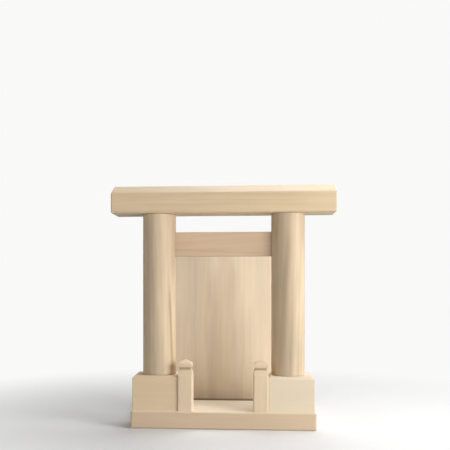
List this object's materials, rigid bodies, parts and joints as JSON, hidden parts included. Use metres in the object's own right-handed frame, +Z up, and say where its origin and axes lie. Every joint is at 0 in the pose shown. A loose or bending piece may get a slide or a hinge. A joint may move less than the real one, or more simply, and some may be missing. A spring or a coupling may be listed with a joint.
{
  "type": "talisman stand",
  "caption": "Plain wooden shrine-gate stand: round pillars on plinth blocks, gabled top beam, tie beam, low gate posts, base with a slanted slot and rest board for a paper talisman.",
  "frame": {"origin": "on the floor, at the middle of the base board's underside", "axes": "+Z up, -Y the way the gate faces, +X to the right seen from the front"},
  "size_m": [0.1204, 0.08, 0.1307],
  "materials": {
    "base_wood": "planed, unvarnished pale softwood",
    "block_wood": "planed, unvarnished pale softwood",
    "pillar_wood": "turned and sanded, unvarnished pale softwood",
    "beam_wood": "planed, unvarnished pale softwood",
    "post_wood": "planed, unvarnished pale softwood",
    "rest_wood": "planed, unvarnished pale softwood"
  },
  "bodies": {
    "root": {"base_board": "base_wood", "plinth_block_left": "block_wood", "plinth_block_right": "block_wood", "pillar_left": "pillar_wood", "pillar_right": "pillar_wood", "tie_beam": "beam_wood", "top_beam": "beam_wood", "gate_post_left": "post_wood", "gate_post_right": "post_wood", "rest_board": "rest_wood"}
  },
  "joints": []
}
